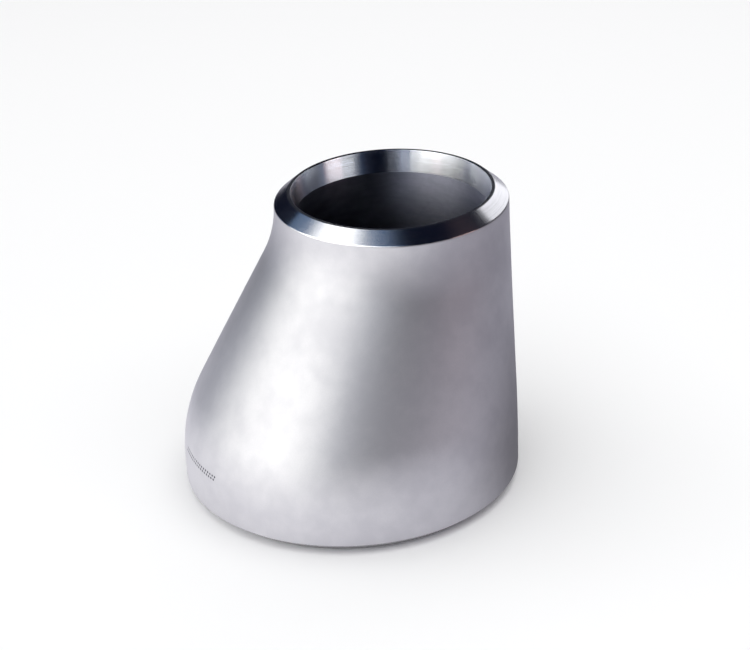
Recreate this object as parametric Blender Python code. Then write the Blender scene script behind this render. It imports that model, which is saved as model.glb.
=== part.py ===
"""Eccentric butt-weld pipe reducer, DN 150 x DN 100, seamless stainless steel.

The real fitting is one piece of metal: a tube pressed to two sizes, then turned at both ends for
welding. It has one flat side, where the bottoms of the two pipes line up, and one slanted side.

Frame: metres, +Z up. The origin is the centre of the large end's face, on which the fitting
stands. The small end is up, and the flat side is at +X. The XZ plane is the plane of symmetry.
"""

import math

import bmesh
import bpy
from mathutils import Matrix

# Driving dimensions
LARGE_OD = 0.159
SMALL_OD = 0.108
LENGTH = 0.140
WALL = 0.010

# Weld preparation, the same at both ends: an outside bevel, a flat root face, an inside taper
ROOT_FACE = 0.0016
TAPER_RUN = 0.0019
TAPER_DEPTH = 0.0105
BEVEL_ANGLE = math.radians(40.0)  # from the plane of the end face

# Slanted side: straight at the large end, a convex arc, a straight slant, a concave arc
LARGE_STRAIGHT = 0.016
CONVEX_RADIUS = 0.063
CONCAVE_RADIUS = 0.0525

ROUND_SEGMENTS = 96
ARC_STEPS = 6
SHARP_ANGLE = math.radians(20.0)

# Worked out from the above
LARGE_RADIUS = LARGE_OD / 2
SMALL_RADIUS = SMALL_OD / 2
BEVEL_RUN = WALL - ROOT_FACE - TAPER_RUN
BEVEL_RISE = BEVEL_RUN * math.tan(BEVEL_ANGLE)
SMALL_STRAIGHT = BEVEL_RISE  # the concave arc ends where the small end's bevel begins
SMALL_CENTRE = LARGE_RADIUS - SMALL_RADIUS  # along +X, which lines up the two ends at the flat side


def slant_angle():
    """Lean of the straight slant from vertical, which makes it tangent to both arcs."""
    across = 2 * (LARGE_RADIUS - SMALL_RADIUS) - CONVEX_RADIUS - CONCAVE_RADIUS
    up = LENGTH - LARGE_STRAIGHT - SMALL_STRAIGHT
    between_centres = math.hypot(across, up)
    return math.atan2(across, up) + math.asin((CONVEX_RADIUS + CONCAVE_RADIUS) / between_centres)


def slanted_side(depth, top):
    """Points (x, z) up the slanted side, from its large straight to the height top.

    depth is how far inside the outer surface they lie: 0 on the outside, WALL in the bore.
    """
    slant = slant_angle()
    convex_x = CONVEX_RADIUS - LARGE_RADIUS
    convex = CONVEX_RADIUS - depth
    concave_x = SMALL_CENTRE - SMALL_RADIUS - CONCAVE_RADIUS
    concave_z = LENGTH - SMALL_STRAIGHT
    concave = CONCAVE_RADIUS + depth
    last_angle = math.asin((concave_z - top) / concave)
    points = []
    for step in range(ARC_STEPS + 1):
        angle = slant * step / ARC_STEPS
        points.append((convex_x - convex * math.cos(angle), LARGE_STRAIGHT + convex * math.sin(angle)))
    for step in range(ARC_STEPS + 1):
        angle = slant + (last_angle - slant) * step / ARC_STEPS
        points.append((concave_x + concave * math.cos(angle), concave_z - concave * math.sin(angle)))
    return points


def formed_sections(depth, top):
    """The circles (centre x, radius, z) of a pressed surface: each spans the two sides."""
    flat_side_x = LARGE_RADIUS - depth
    return [((flat_side_x + x) / 2, (flat_side_x - x) / 2, z) for x, z in slanted_side(depth, top)]


def wall_sections():
    """The circles (centre x, radius, z) all round the wall: up the outside and down the bore."""
    root_inner = BEVEL_RUN + ROOT_FACE
    outside = formed_sections(0.0, LENGTH - BEVEL_RISE)
    bore = formed_sections(WALL, LENGTH - TAPER_DEPTH)
    return [
        (0.0, LARGE_RADIUS - BEVEL_RUN, 0.0),
        (0.0, LARGE_RADIUS, BEVEL_RISE),
        *outside,
        (SMALL_CENTRE, SMALL_RADIUS - BEVEL_RUN, LENGTH),
        (SMALL_CENTRE, SMALL_RADIUS - root_inner, LENGTH),
        *reversed(bore),
        (0.0, LARGE_RADIUS - WALL, TAPER_DEPTH),
        (0.0, LARGE_RADIUS - root_inner, 0.0),
    ]


def lofted_mesh(name, sections):
    """A mesh lofted through the circles in turn and back to the first, as a closed sleeve."""
    shape = bmesh.new()
    loops = []
    for centre_x, radius, z in sections:
        place = Matrix.Translation((centre_x, 0.0, z))
        circle = bmesh.ops.create_circle(
            shape, segments=ROUND_SEGMENTS, radius=radius, matrix=place
        )
        loops.append(list({edge for vert in circle["verts"] for edge in vert.link_edges}))
    for index, loop in enumerate(loops):
        next_loop = loops[(index + 1) % len(loops)]
        bmesh.ops.bridge_loops(shape, edges=loop + next_loop)
    bmesh.ops.recalc_face_normals(shape, faces=shape.faces)
    mesh = bpy.data.meshes.new(name)
    shape.to_mesh(mesh)
    shape.free()
    mesh.shade_smooth()
    mesh.set_sharp_from_angle(angle=SHARP_ANGLE)
    return mesh


def stainless_steel():
    """Bead-blasted and pickled stainless steel, light grey with a faint cool cast."""
    material = bpy.data.materials.new("satin_stainless")
    material.use_nodes = True
    shader = material.node_tree.nodes["Principled BSDF"]
    shader.inputs["Base Color"].default_value = (0.60, 0.60, 0.63, 1.0)
    shader.inputs["Metallic"].default_value = 1.0
    shader.inputs["Roughness"].default_value = 0.42
    return material


def build():
    for old in list(bpy.data.objects):
        bpy.data.objects.remove(old)
    collection = bpy.data.collections.new("eccentric_reducer")
    bpy.context.scene.collection.children.link(collection)
    mesh = lofted_mesh("reducer_body", wall_sections())
    mesh.materials.append(stainless_steel())
    collection.objects.link(bpy.data.objects.new("reducer_body", mesh))


build()
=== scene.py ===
"""Looks of the eccentric butt-weld pipe reducer.

The fitting is one piece of stainless steel, so one fine mesh stands for its one CAD node. The
outside is bead-blasted, both weld ends are freshly turned, and the bore is left as pressed.
Lengths are in metres, in the CAD frame: the large end stands on z = 0 and the flat side is at +X.
"""

import math
from collections import namedtuple

import bmesh
import bpy
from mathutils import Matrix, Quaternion, Vector, noise


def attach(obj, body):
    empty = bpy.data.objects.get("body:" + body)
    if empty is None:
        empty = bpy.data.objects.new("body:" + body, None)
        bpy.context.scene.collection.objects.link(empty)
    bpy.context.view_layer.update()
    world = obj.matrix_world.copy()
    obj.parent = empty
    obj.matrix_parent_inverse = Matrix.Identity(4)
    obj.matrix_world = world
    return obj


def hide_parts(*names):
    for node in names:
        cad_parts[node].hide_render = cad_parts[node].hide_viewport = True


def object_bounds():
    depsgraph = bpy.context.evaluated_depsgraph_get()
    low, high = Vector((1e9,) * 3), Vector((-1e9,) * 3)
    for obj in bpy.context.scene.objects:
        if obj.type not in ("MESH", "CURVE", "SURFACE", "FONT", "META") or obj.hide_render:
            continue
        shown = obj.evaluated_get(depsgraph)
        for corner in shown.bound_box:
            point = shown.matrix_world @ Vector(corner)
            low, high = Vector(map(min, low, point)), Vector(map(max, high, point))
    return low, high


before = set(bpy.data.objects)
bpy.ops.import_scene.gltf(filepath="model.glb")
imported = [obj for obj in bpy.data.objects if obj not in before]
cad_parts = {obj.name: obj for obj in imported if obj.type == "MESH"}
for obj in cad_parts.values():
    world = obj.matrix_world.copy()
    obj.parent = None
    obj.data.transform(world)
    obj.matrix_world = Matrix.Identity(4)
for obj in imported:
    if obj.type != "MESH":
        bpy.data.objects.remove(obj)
cad_low, cad_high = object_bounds()

# Sizes of the fitting, from the frame and then as in the CAD source
LARGE_RADIUS = (cad_high.x - cad_low.x) / 2
LENGTH = cad_high.z
SMALL_RADIUS = 0.054
WALL = 0.010
ROOT_FACE = 0.0016
TAPER_RUN = 0.0019
TAPER_DEPTH = 0.0105
BEVEL_ANGLE = math.radians(40.0)
BEVEL_RUN = WALL - ROOT_FACE - TAPER_RUN
BEVEL_RISE = BEVEL_RUN * math.tan(BEVEL_ANGLE)
SMALL_CENTRE = LARGE_RADIUS - SMALL_RADIUS
LARGE_STRAIGHT = 0.016
CONVEX_RADIUS = 0.063
CONCAVE_RADIUS = 0.0525

# Fineness of the visible surface
AROUND = 320
OUTSIDE_STEP = 0.0019
BORE_STEP = 0.0034
CORNER_STEPS = 4

# Distance from each rounded corner to the rings that support it
SUPPORT = 0.00015

# How far a weld end's outline runs on past its first and last corner, to give their directions
RUN_ON = 0.004

# Space left for the weld ends' rings, past the bevel outside and past the taper inside
OUTSIDE_CLEARANCE = 0.0016
BORE_CLEARANCE = 0.0028

# Corner radii left by the lathe: body to bevel, bevel to root face, root face to taper, taper to bore
SMALL_END_CORNERS = (0.0013, 0.00014, 0.00014, 0.0008)
LARGE_END_CORNERS = (0.0002, 0.00014, 0.00014, 0.0008)

# Material numbers on the mesh
BLASTED, TURNED, BORED, BORE = range(4)

# Materials of the body, bevel, root face, taper and bore, and how many rings of each corner between
# two of them still have the first one's material
END_MATERIALS = (BLASTED, TURNED, TURNED, BORED, BORE)
RINGS_BEFORE = (1 + CORNER_STEPS // 2, 0, 0, CORNER_STEPS // 2)

# Unevenness left by pressing: a slow and a quick noise about a middle level, always inwards so that
# the piece stays inside its CAD size
SWELL_DEPTH = 0.00032
SWELL_LENGTH = 0.055
SWELL_MIDDLE = 0.5
SWELL_SLOW = 0.55
SWELL_QUICK = 0.2
QUICK_RATIO = 2.7
QUICK_SHIFT = Vector((4.0, 1.0, 7.0))

# Colours of the steel, most of them as a darker and a lighter tone
BLASTED_TONES = ((0.413, 0.410, 0.428, 1.0), (0.465, 0.463, 0.475, 1.0))
TURNED_TONES = ((0.77, 0.77, 0.785, 1.0), (0.86, 0.86, 0.865, 1.0))
BORED_TONES = ((0.81, 0.83, 0.875, 1.0), (0.90, 0.92, 0.965, 1.0))
PRESSED_TONES = ((0.43, 0.44, 0.53, 1.0), (0.53, 0.54, 0.64, 1.0))
# Painted shade in the bore, as a darker and a lighter tone
PAINTED_SHADE_TONES = ((0.10, 0.105, 0.13, 1.0), (0.14, 0.145, 0.18, 1.0))
GRAIN_COLOUR = (0.38, 0.38, 0.40, 1.0)
MARK_COLOUR = (0.05, 0.05, 0.06, 1.0)

# How far the roughness of a turned face goes up and down
TURNED_SPREAD = 0.03

# Scale of the bore's drawn marks along each axis, which makes them four times as long as high
DRAWN_SCALE = (0.25, 0.25, 1.0)

# Painted shade in the bore: depth past the taper at which it is darkest, and the x over which it fades
# out
PAINTED_SHADE_DEPTH = 0.035
PAINTED_SHADE_EDGE = (0.022, 0.055)

# Etched mark: height of its lower row, gap between rows, pitch and radius of the dots, and its ends
MARK_HEIGHT = 0.0237
MARK_ROWS = 0.0016
MARK_PITCH = 0.0020
MARK_DOT = 0.00055
MARK_ENDS = (-0.0215, 0.0125)

# Softboxes that the metal mirrors: azimuth and elevation in degrees, distance, width, height,
# radiance, where 1 shows as white, colour, and roll in degrees
SOFTBOXES = {
    "key": (-83.0, 34.0, 1.0, 1.25, 1.20, 2.0, (1.0, 0.97, 0.91), -20.0),
    "core": (-90.0, 10.0, 1.0, 1.85, 0.55, 1.6, (1.0, 0.98, 0.90), 0.0),
    "halo": (-85.0, 35.0, 1.15, 3.0, 2.4, 0.15, (0.55, 0.95, 1.70), 0.0),
    "back": (-144.0, -2.0, 1.2, 0.60, 0.32, 0.34, (0.75, 0.95, 1.50), 0.0),
    "rim": (121.5, 20.5, 1.2, 1.14, 0.45, 1.25, (0.98, 0.98, 1.03), -47.0),
    "far": (158.0, 27.0, 1.3, 0.50, 0.40, 0.03, (1.0, 1.0, 1.05), 0.0),
    "strip": (48.5, 15.0, 1.2, 0.50, 0.30, 1.8, (1.0, 0.68, 0.66), 0.0),
    "flank": (-30.0, 34.0, 1.1, 0.35, 0.38, 1.5, (0.95, 0.96, 1.0), 0.0),
    "horizon": (35.0, 0.5, 1.5, 3.4, 0.16, 0.6, (1.0, 0.97, 1.15), 0.0),
}

# The softbox above, which lights the floor and isn't mirrored, with the same settings
OVERHEAD = (0.0, 89.0, 2.0, 4.0, 4.0, 2.0, (1.0, 1.0, 1.0), 0.0)

# What is behind everything: the dark room that the metal mirrors, and the camera's white backdrop
ROOM = (0.0025, 0.004, 0.012, 1.0)
BACKDROP = (1.0, 1.0, 1.0, 1.0)

# Floor
FLOOR_SIZE = 8.0
FLOOR_COLOUR = (0.93, 0.93, 0.93, 1.0)

# Tabletop as the metal mirrors it. Each EDGE and CHANGE is a pair of distances that a change lies
# between: from the pool's or the shadow's centre, or else from the fitting's axis
TABLE_SIZE = (3.4, 2.6)
TABLE_PLACE = (0.0, -0.4, -0.0005)
POOL_CENTRE = (-0.47, -0.25, 0.0)
POOL_EDGE = (0.30, 0.76)
POOL_RADIANCE = (1.9, 2.2)
POOL_CHANGE = (0.25, 0.55)
POOL_COLOUR = (1.0, 0.99, 1.01, 1.0)
DIM_RADIANCE = 0.74
DIM_SHARE = (1.0, 0.72)
DIM_CHANGE = (0.28, 0.60)
DIM_COLOUR = (1.0, 0.985, 1.13, 1.0)
FOOT_SHARE = 0.2
FOOT_CHANGE = (LARGE_RADIUS, 0.17)
SHADOW_CENTRE = (0.13, 0.0, 0.0)
SHADOW_EDGE = (0.05, 0.14)
SHADOW_SHARE = 0.38

# Camera
CAMERA_AZIMUTH = -22.25
CAMERA_ELEVATION = 26.56
CAMERA_DISTANCE = 0.9764
CAMERA_TARGET = (0.01474, 0.0, 0.07246)
CAMERA_ROLL = -2.55
CAMERA_LENS = 100.1
CAMERA_SENSOR = 36.0

# One loop of the surface: its circle, the material from it to the next ring, whether it follows the
# unevenness, and how far it rises for each unit of dip, which keeps a bevel's edge on the bevel
Ring = namedtuple("Ring", "centre radius z material pressed climb", defaults=(False, 0.0))


# Shape


def slant_angle():
    """Lean of the straight slant from vertical, which makes it tangent to both arcs."""
    across = 2 * (LARGE_RADIUS - SMALL_RADIUS) - CONVEX_RADIUS - CONCAVE_RADIUS
    up = LENGTH - LARGE_STRAIGHT - BEVEL_RISE
    between_centres = math.hypot(across, up)
    return math.atan2(across, up) + math.asin((CONVEX_RADIUS + CONCAVE_RADIUS) / between_centres)


def arc_angles(first, last, radius, step):
    """Evenly spaced angles from first to last, about step apart along the arc."""
    count = max(2, round(abs(last - first) * radius / step))
    return [first + (last - first) * i / count for i in range(count + 1)]


def slanted_side(depth, top, step):
    """Points (x, z) up the slanted side, depth inside it, from its large straight to the height top."""
    slant = slant_angle()
    convex_x = CONVEX_RADIUS - LARGE_RADIUS
    convex = CONVEX_RADIUS - depth
    concave_x = SMALL_CENTRE - SMALL_RADIUS - CONCAVE_RADIUS
    concave_z = LENGTH - BEVEL_RISE
    concave = CONCAVE_RADIUS + depth
    last_angle = math.asin((concave_z - top) / concave)
    lower = [
        (convex_x - convex * math.cos(a), LARGE_STRAIGHT + convex * math.sin(a))
        for a in arc_angles(0.0, slant, convex, step)
    ]
    upper = [
        (concave_x + concave * math.cos(a), concave_z - concave * math.sin(a))
        for a in arc_angles(slant, last_angle, concave, step)
    ]
    (x0, z0), (x1, z1) = lower[-1], upper[0]
    count = round(math.hypot(x1 - x0, z1 - z0) / step)
    middle = [(x0 + (x1 - x0) * i / count, z0 + (z1 - z0) * i / count) for i in range(1, count)]
    return lower + middle + upper


def rounded(points, radii):
    """Each inner corner of the open outline (r, z), as an arc between two support points."""
    corners = []
    for before, corner, after, radius in zip(points, points[1:], points[2:], radii):
        into = (Vector(before) - Vector(corner)).normalized()
        out = (Vector(after) - Vector(corner)).normalized()
        half = into.angle(out) / 2
        reach = radius / math.tan(half)
        centre = Vector(corner) + (into + out).normalized() * radius / math.sin(half)
        start = Vector(corner) + into * reach
        end = Vector(corner) + out * reach
        spokes = [(start - centre).lerp(end - centre, i / CORNER_STEPS) for i in range(CORNER_STEPS + 1)]
        arc = [centre + spoke.normalized() * radius for spoke in spokes]
        corners.append([start + into * SUPPORT, *arc, end + out * SUPPORT])
    return corners


def weld_end(radius, corner_radii):
    """Rounded corners (r, z) of a weld end, with z = 0 at its face and negative into the fitting."""
    points = [
        (radius, -BEVEL_RISE - RUN_ON),
        (radius, -BEVEL_RISE),
        (radius - BEVEL_RUN, 0.0),
        (radius - BEVEL_RUN - ROOT_FACE, 0.0),
        (radius - WALL, -TAPER_DEPTH),
        (radius - WALL, -TAPER_DEPTH - RUN_ON),
    ]
    return rounded(points, corner_radii)


def end_rings(centre, radius, corner_radii, face_z, up):
    """Rings of one weld end, from the body over the root face into the bore. up is 1 or -1."""
    corners = weld_end(radius, corner_radii)
    rings = []
    for corner, before, after, count in zip(corners, END_MATERIALS, END_MATERIALS[1:], RINGS_BEFORE):
        pressed = corner is corners[0]
        climb = math.tan(BEVEL_ANGLE) * up if pressed else 0.0
        for place, (r, z) in enumerate(corner):
            material = before if place < count else after
            rings.append(Ring(centre, r, face_z + z * up, material, pressed, climb))
    return rings


def side_rings(depth, low, high, step, material, pressed):
    """Rings of the pressed wall between two heights, which touch the flat side and the slanted side."""
    flat_x = LARGE_RADIUS - depth
    count = max(1, round((LARGE_STRAIGHT - low) / step))
    straight = [(depth - LARGE_RADIUS, low + (LARGE_STRAIGHT - low) * i / count) for i in range(count)]
    return [
        Ring((flat_x + x) / 2, (flat_x - x) / 2, z, material, pressed)
        for x, z in straight + slanted_side(depth, high, step)
    ]


def backwards(rings, last):
    """The rings in reverse. Each stretch between two keeps its material, and last comes after them."""
    materials = [last, *(ring.material for ring in rings)]
    return [ring._replace(material=material) for ring, material in zip(rings, materials)][::-1]


def all_rings():
    """Every ring of the wall, as a closed sleeve: up the outside, over, down the bore and under."""
    low = BEVEL_RISE + OUTSIDE_CLEARANCE
    outside = side_rings(0.0, low, LENGTH - low, OUTSIDE_STEP, BLASTED, True)
    small_end = end_rings(SMALL_CENTRE, SMALL_RADIUS, SMALL_END_CORNERS, LENGTH, 1)
    deep = TAPER_DEPTH + BORE_CLEARANCE
    bore = side_rings(WALL, deep, LENGTH - deep, BORE_STEP, BORE, False)
    large_end = end_rings(0.0, LARGE_RADIUS, LARGE_END_CORNERS, 0.0, -1)
    return outside + small_end + backwards(bore, BORE) + backwards(large_end, BLASTED)


def dip_at(point):
    """How far the pressed wall dips at a point, from 0 to SWELL_DEPTH."""
    slow = noise.noise(point / SWELL_LENGTH)
    quick = noise.noise(point * QUICK_RATIO / SWELL_LENGTH + QUICK_SHIFT)
    swell = SWELL_MIDDLE + SWELL_SLOW * slow + SWELL_QUICK * quick
    return SWELL_DEPTH * min(1.0, max(0.0, swell))


def ring_points(ring):
    """Places of a ring's points, dipped where it is pressed."""
    points = []
    for i in range(AROUND):
        angle = 2 * math.pi * i / AROUND
        outward = Vector((math.cos(angle), math.sin(angle), 0.0))
        point = Vector((ring.centre, 0.0, ring.z)) + outward * ring.radius
        dip = dip_at(point) if ring.pressed else 0.0
        points.append(point - outward * dip + Vector((0.0, 0.0, dip * ring.climb)))
    return points


def fitting_mesh():
    """The fitting's fine surface, with a UV map whose U runs across the lathe's grooves."""
    rings = all_rings()
    shape = bmesh.new()
    uv_layer = shape.loops.layers.uv.new("turning")
    loops = [[shape.verts.new(point) for point in ring_points(ring)] for ring in rings]
    near = 0.0
    for index, ring in enumerate(rings):
        following = (index + 1) % len(rings)
        far = near + math.hypot(rings[following].radius - ring.radius, rings[following].z - ring.z)
        for i in range(AROUND):
            j = (i + 1) % AROUND
            corners = (loops[index][i], loops[index][j], loops[following][j], loops[following][i])
            face = shape.faces.new(corners)
            face.material_index = ring.material
            face.smooth = True
            start, end = i / AROUND, (i + 1) / AROUND
            places = ((near, start), (near, end), (far, end), (far, start))
            for loop, place in zip(face.loops, places):
                loop[uv_layer].uv = place
        near = far
    bmesh.ops.recalc_face_normals(shape, faces=shape.faces)
    mesh = bpy.data.meshes.new("reducer_surface")
    shape.to_mesh(mesh)
    shape.free()
    return mesh


# Node helpers


def new_metal(name):
    """A new metal with nodes: the material, its node tree and its shader."""
    material = bpy.data.materials.new(name)
    material.use_nodes = True
    shader = material.node_tree.nodes["Principled BSDF"]
    shader.inputs["Metallic"].default_value = 1.0
    return material, material.node_tree, shader


def put(tree, socket, value):
    """Links value to a socket if it is an output, or sets the socket to it."""
    if isinstance(value, bpy.types.NodeSocket):
        tree.links.new(value, socket)
    else:
        socket.default_value = value


def maths(tree, operation, first, second):
    node = tree.nodes.new("ShaderNodeMath")
    node.operation = operation
    put(tree, node.inputs[0], first)
    put(tree, node.inputs[1], second)
    return node.outputs[0]


def blended(tree, first, second, share):
    """The two values added, second with this share and first with the rest."""
    rest = maths(tree, "MULTIPLY", first, 1.0 - share)
    return maths(tree, "ADD", rest, maths(tree, "MULTIPLY", second, share))


def remapped(tree, value, source, target):
    """Value taken smoothly from the range source to the range target, and held outside it."""
    node = tree.nodes.new("ShaderNodeMapRange")
    node.interpolation_type = "SMOOTHSTEP"
    for socket, number in zip(node.inputs[1:5], (*source, *target)):
        socket.default_value = number
    put(tree, node.inputs["Value"], value)
    return node.outputs["Result"]


def mixed(tree, factor, first, second):
    """Colour between first and second, as factor goes from 0 to 1."""
    node = tree.nodes.new("ShaderNodeMix")
    node.data_type = "RGBA"
    put(tree, node.inputs["Factor"], factor)
    put(tree, node.inputs["A"], first)
    put(tree, node.inputs["B"], second)
    return node.outputs["Result"]


def object_place(tree):
    return tree.nodes.new("ShaderNodeTexCoord").outputs["Object"]


def separated(tree, vector):
    node = tree.nodes.new("ShaderNodeSeparateXYZ")
    put(tree, node.inputs[0], vector)
    return node.outputs


def distance_between(tree, first, second):
    node = tree.nodes.new("ShaderNodeVectorMath")
    node.operation = "DISTANCE"
    put(tree, node.inputs[0], first)
    put(tree, node.inputs[1], second)
    return node.outputs["Value"]


def stretched(tree, vector, scale):
    """Vector scaled along each axis. A pattern laid on it is longer where the scale is under 1."""
    node = tree.nodes.new("ShaderNodeMapping")
    put(tree, node.inputs["Vector"], vector)
    node.inputs["Scale"].default_value = scale
    return node.outputs["Vector"]


def noisy(tree, vector, size, detail, roughness=0.5):
    """Noise from 0 to 1 whose features are about size metres wide."""
    node = tree.nodes.new("ShaderNodeTexNoise")
    put(tree, node.inputs["Vector"], vector)
    node.inputs["Scale"].default_value = 1.0 / size
    node.inputs["Detail"].default_value = detail
    node.inputs["Roughness"].default_value = roughness
    return node.outputs["Fac"]


def lined(tree, across, size, detail):
    """Noise from 0 to 1 that changes only across the lathe's grooves."""
    node = tree.nodes.new("ShaderNodeTexNoise")
    node.noise_dimensions = "1D"
    put(tree, node.inputs["W"], across)
    node.inputs["Scale"].default_value = 1.0 / size
    node.inputs["Detail"].default_value = detail
    return node.outputs["Fac"]


def bumped(tree, shader, height, strength, depth, before=None):
    """Bump on the shader, over the bump before if there is one."""
    node = tree.nodes.new("ShaderNodeBump")
    put(tree, node.inputs["Height"], height)
    node.inputs["Strength"].default_value = strength
    node.inputs["Distance"].default_value = depth
    if before:
        tree.links.new(before, node.inputs["Normal"])
    tree.links.new(node.outputs["Normal"], shader.inputs["Normal"])
    return node.outputs["Normal"]


def between(tree, value, low, high):
    """1 where value is between low and high, else 0."""
    above = maths(tree, "GREATER_THAN", value, low)
    return maths(tree, "MULTIPLY", above, maths(tree, "LESS_THAN", value, high))


# Materials


def dot_row(tree, along, above):
    """1 on the dots of a level row, else 0. above is the height over the row's middle line."""
    beside = maths(tree, "PINGPONG", along, MARK_PITCH / 2)
    squares = maths(tree, "ADD", maths(tree, "POWER", beside, 2.0), maths(tree, "POWER", above, 2.0))
    return maths(tree, "LESS_THAN", squares, MARK_DOT ** 2)


def etched_mark(tree, place):
    """1 on two staggered rows of plain dots, laser-etched low on the slanted side, else 0."""
    x, y, z = separated(tree, place)
    turned = maths(tree, "ARCTAN2", y, maths(tree, "MULTIPLY", x, -1.0))
    along = maths(tree, "MULTIPLY", turned, LARGE_RADIUS)
    lower = dot_row(tree, along, maths(tree, "SUBTRACT", z, MARK_HEIGHT))
    shifted = maths(tree, "ADD", along, MARK_PITCH / 2)
    upper = dot_row(tree, shifted, maths(tree, "SUBTRACT", z, MARK_HEIGHT + MARK_ROWS))
    dots = maths(tree, "MAXIMUM", lower, upper)
    return maths(tree, "MULTIPLY", dots, between(tree, along, *MARK_ENDS))


def blasted_steel():
    """Bead-blasted and pickled outside: an even satin, with faint clouds and a fine grain."""
    material, tree, shader = new_metal("blasted_steel")
    place = object_place(tree)
    clouds = noisy(tree, place, size=0.030, detail=3.0, roughness=0.55)
    patches = noisy(tree, place, size=0.0075, detail=4.0, roughness=0.6)
    grain = noisy(tree, place, size=0.00055, detail=3.0, roughness=0.7)
    shade = blended(tree, clouds, patches, share=0.3)
    clean = mixed(tree, remapped(tree, shade, (0.33, 0.67), (0.0, 1.0)), *BLASTED_TONES)
    grainy = mixed(tree, remapped(tree, grain, (0.3, 0.7), (0.0, 0.3)), clean, GRAIN_COLOUR)
    mark = etched_mark(tree, place)
    put(tree, shader.inputs["Base Color"], mixed(tree, mark, grainy, MARK_COLOUR))
    put(tree, shader.inputs["Roughness"], remapped(tree, shade, (0.3, 0.7), (0.51, 0.48)))
    pits = bumped(tree, shader, grain, strength=0.25, depth=0.00005)
    bumped(tree, shader, mark, strength=0.5, depth=-0.00005, before=pits)
    return material


def across_grooves(tree):
    """Distance in metres across the lathe's grooves, along the section of the wall."""
    uv = tree.nodes.new("ShaderNodeUVMap")
    uv.uv_map = "turning"
    return separated(tree, uv.outputs["UV"])["X"]


def stretch_across_grooves(tree, shader, amount):
    """Spreads each reflection across the grooves and keeps it sharp along them."""
    shader.inputs["Anisotropic"].default_value = amount
    tangent = tree.nodes.new("ShaderNodeTangent")
    tangent.direction_type = "UV_MAP"
    tangent.uv_map = "turning"
    tree.links.new(tangent.outputs["Tangent"], shader.inputs["Tangent"])


def turned_steel(name, tones, roughness, stretch):
    """Freshly turned: bright, with grooves round the axis that stretch each reflection."""
    material, tree, shader = new_metal(name)
    across = across_grooves(tree)
    fine = lined(tree, across, size=0.00011, detail=2.0)
    bands = lined(tree, across, size=0.0007, detail=1.0)
    patches = noisy(tree, object_place(tree), size=0.012, detail=2.0)
    tone = blended(tree, bands, patches, share=0.25)
    put(tree, shader.inputs["Base Color"], mixed(tree, tone, *tones))
    uneven = remapped(tree, tone, (0.3, 0.7), (roughness + TURNED_SPREAD, roughness - TURNED_SPREAD))
    put(tree, shader.inputs["Roughness"], uneven)
    stretch_across_grooves(tree, shader, stretch)
    bumped(tree, shader, fine, strength=0.12, depth=0.00002)
    return material


def pressed_bore():
    """The bore as it left the press: dull, with faint marks round the axis, and with painted shade that
    is darkest deep inside and away from the flat side."""
    material, tree, shader = new_metal("pressed_bore")
    place = object_place(tree)
    drawn = noisy(tree, stretched(tree, place, DRAWN_SCALE), size=0.0030, detail=4.0, roughness=0.6)
    patches = noisy(tree, place, size=0.009, detail=4.0, roughness=0.65)
    grain = noisy(tree, place, size=0.0006, detail=2.0)
    shade = blended(tree, drawn, patches, share=0.5)
    tone = remapped(tree, shade, (0.35, 0.65), (0.0, 1.0))
    clean = mixed(tree, tone, *PRESSED_TONES)
    # Painted shade: a dark copy of the bore's colour, for where the bore lies deep or towards -X
    painted_shade_colour = mixed(tree, tone, *PAINTED_SHADE_TONES)
    axes = separated(tree, place)
    depth = maths(tree, "MINIMUM", axes["Z"], maths(tree, "SUBTRACT", LENGTH, axes["Z"]))
    deep = remapped(tree, depth, (TAPER_DEPTH, TAPER_DEPTH + PAINTED_SHADE_DEPTH), (0.0, 1.0))
    beside = remapped(tree, axes["X"], PAINTED_SHADE_EDGE, (1.0, 0.0))
    # Painted shade, strongest deep inside the bore and away from the flat side
    scale = maths(tree, "MAXIMUM", deep, beside)
    put(tree, shader.inputs["Base Color"], mixed(tree, scale, clean, painted_shade_colour))
    put(tree, shader.inputs["Roughness"], remapped(tree, shade, (0.3, 0.7), (0.47, 0.41)))
    stretch_across_grooves(tree, shader, amount=0.8)
    marks = bumped(tree, shader, drawn, strength=0.2, depth=0.0001)
    bumped(tree, shader, grain, strength=0.3, depth=0.00008, before=marks)
    return material


# Stage: floor, studio light and camera


def grid_object(name, width, depth, material):
    """A flat, level rectangle that is part of the stage."""
    shape = bmesh.new()
    bmesh.ops.create_grid(shape, x_segments=1, y_segments=1, size=0.5)
    bmesh.ops.scale(shape, vec=(width, depth, 1.0), verts=shape.verts)
    mesh = bpy.data.meshes.new(name)
    shape.to_mesh(mesh)
    shape.free()
    mesh.materials.append(material)
    piece = bpy.data.objects.new(name, mesh)
    bpy.context.scene.collection.objects.link(piece)
    return piece


def pale_floor():
    """The floor that the camera sees, with the fitting's soft shadow on it."""
    material = bpy.data.materials.new("floor_paper")
    material.use_nodes = True
    shader = material.node_tree.nodes["Principled BSDF"]
    shader.inputs["Base Color"].default_value = FLOOR_COLOUR
    shader.inputs["Roughness"].default_value = 1.0
    shader.inputs["Specular IOR Level"].default_value = 0.0
    floor = grid_object("floor", FLOOR_SIZE, FLOOR_SIZE, material)
    floor.visible_glossy = False


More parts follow.
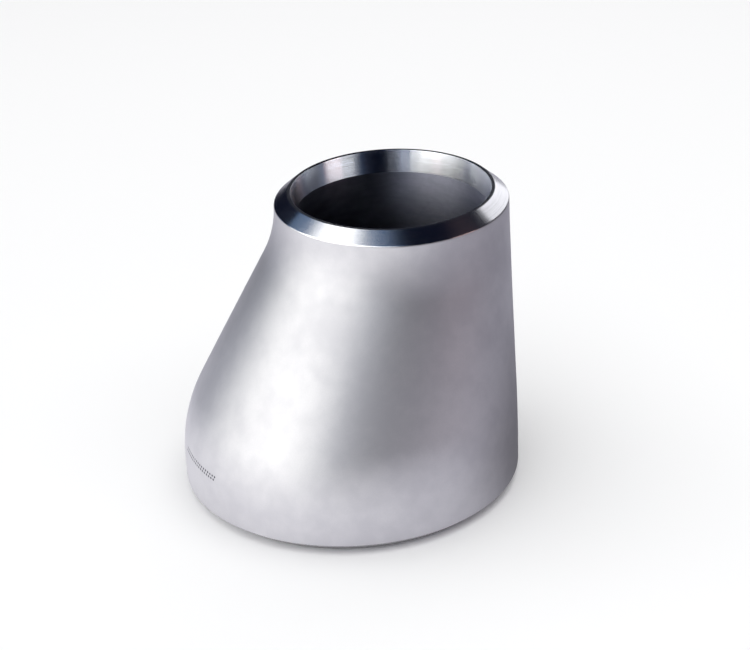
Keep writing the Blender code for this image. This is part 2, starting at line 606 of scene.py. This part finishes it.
def glowing_table():
    """Light from the tabletop: a pool on the key's side, less elsewhere and at the foot, and a shadow."""
    material = bpy.data.materials.new("table_glow")
    material.use_nodes = True
    tree = material.node_tree
    tree.nodes.remove(tree.nodes["Principled BSDF"])
    emission = tree.nodes.new("ShaderNodeEmission")
    tree.links.new(emission.outputs[0], tree.nodes["Material Output"].inputs["Surface"])
    place = tree.nodes.new("ShaderNodeNewGeometry").outputs["Position"]
    from_axis = distance_between(tree, place, (0.0, 0.0, 0.0))
    lit = remapped(tree, distance_between(tree, place, POOL_CENTRE), POOL_EDGE, (1.0, 0.0))
    bright = remapped(tree, from_axis, POOL_CHANGE, POOL_RADIANCE)
    foot = remapped(tree, from_axis, FOOT_CHANGE, (FOOT_SHARE * DIM_RADIANCE, DIM_RADIANCE))
    dim = maths(tree, "MULTIPLY", foot, remapped(tree, from_axis, DIM_CHANGE, DIM_SHARE))
    pool = maths(tree, "ADD", dim, maths(tree, "MULTIPLY", lit, maths(tree, "SUBTRACT", bright, dim)))
    from_shadow = distance_between(tree, place, SHADOW_CENTRE)
    shadow = remapped(tree, from_shadow, SHADOW_EDGE, (SHADOW_SHARE, 1.0))
    outside = remapped(tree, from_axis, (LARGE_RADIUS - WALL, LARGE_RADIUS + WALL), (0.0, 1.0))
    glow = maths(tree, "MULTIPLY", pool, maths(tree, "MULTIPLY", shadow, outside))
    put(tree, emission.inputs["Color"], mixed(tree, lit, DIM_COLOUR, POOL_COLOUR))
    put(tree, emission.inputs["Strength"], glow)
    return material


def table_in_reflections():
    """The tabletop that only reflections show. It stands in for the floor, which they don't."""
    table = grid_object("table_glow", *TABLE_SIZE, glowing_table())
    table.location = TABLE_PLACE
    table.visible_camera = False
    table.visible_diffuse = False
    table.visible_shadow = False


def direction(azimuth, elevation):
    """Unit vector away from the fitting, from angles in degrees. Azimuth 0 is -Y and 90 is +X."""
    a, e = math.radians(azimuth), math.radians(elevation)
    return Vector((math.sin(a) * math.cos(e), -math.cos(a) * math.cos(e), math.sin(e)))


def aim(thing, target, azimuth, elevation, distance, roll):
    """Adds a lamp or camera to the scene, away from target in that direction and facing it."""
    away = direction(azimuth, elevation)
    thing.location = Vector(target) + away * distance
    thing.rotation_mode = "QUATERNION"
    tilt = Quaternion((0.0, 0.0, 1.0), math.radians(roll))
    thing.rotation_quaternion = (-away).to_track_quat("-Z", "Y") @ tilt
    bpy.context.scene.collection.objects.link(thing)


def softbox(name, azimuth, elevation, distance, width, height, radiance, colour, roll):
    """A rectangular area light that faces the middle of the fitting."""
    light = bpy.data.lights.new(name, "AREA")
    light.shape = "RECTANGLE"
    light.size = width
    light.size_y = height
    light.energy = radiance * math.pi * width * height
    light.color = colour
    lamp = bpy.data.objects.new(name, light)
    aim(lamp, (0.0, 0.0, LENGTH / 2), azimuth, elevation, distance, roll)
    return lamp


def studio_light():
    """Softboxes that only the metal's reflections show, and one above that they leave out."""
    for name, settings in SOFTBOXES.items():
        lamp = softbox(name, *settings)
        lamp.visible_diffuse = False
    above = softbox("overhead", *OVERHEAD)
    above.visible_glossy = False


def studio_world():
    """A white backdrop for the camera, and a dark room for everything else."""
    world = bpy.data.worlds.new("studio")
    bpy.context.scene.world = world
    world.use_nodes = True
    tree = world.node_tree
    room = tree.nodes["Background"]
    room.inputs["Color"].default_value = ROOM
    backdrop = tree.nodes.new("ShaderNodeBackground")
    backdrop.inputs["Color"].default_value = BACKDROP
    choose = tree.nodes.new("ShaderNodeMixShader")
    tree.links.new(tree.nodes.new("ShaderNodeLightPath").outputs["Is Camera Ray"], choose.inputs[0])
    tree.links.new(room.outputs[0], choose.inputs[1])
    tree.links.new(backdrop.outputs[0], choose.inputs[2])
    tree.links.new(choose.outputs[0], tree.nodes["World Output"].inputs["Surface"])


def add_camera():
    """A long lens, looking down on the fitting from the left of its front."""
    camera = bpy.data.objects.new("camera", bpy.data.cameras.new("camera"))
    camera.data.sensor_width = CAMERA_SENSOR
    camera.data.lens = CAMERA_LENS
    aim(camera, CAMERA_TARGET, CAMERA_AZIMUTH, CAMERA_ELEVATION, CAMERA_DISTANCE, CAMERA_ROLL)
    bpy.context.scene.camera = camera


add_camera()
surface = bpy.data.objects.new("reducer_surface", fitting_mesh())
bpy.context.scene.collection.objects.link(surface)
for material in (
    blasted_steel(),
    turned_steel("turned_steel", TURNED_TONES, roughness=0.24, stretch=0.88),
    turned_steel("bored_steel", BORED_TONES, roughness=0.195, stretch=1.0),
    pressed_bore(),
):
    surface.data.materials.append(material)
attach(surface, "root")
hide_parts("reducer_body")
pale_floor()
table_in_reflections()
studio_light()
studio_world()
bpy.context.scene.view_settings.view_transform = "Standard"
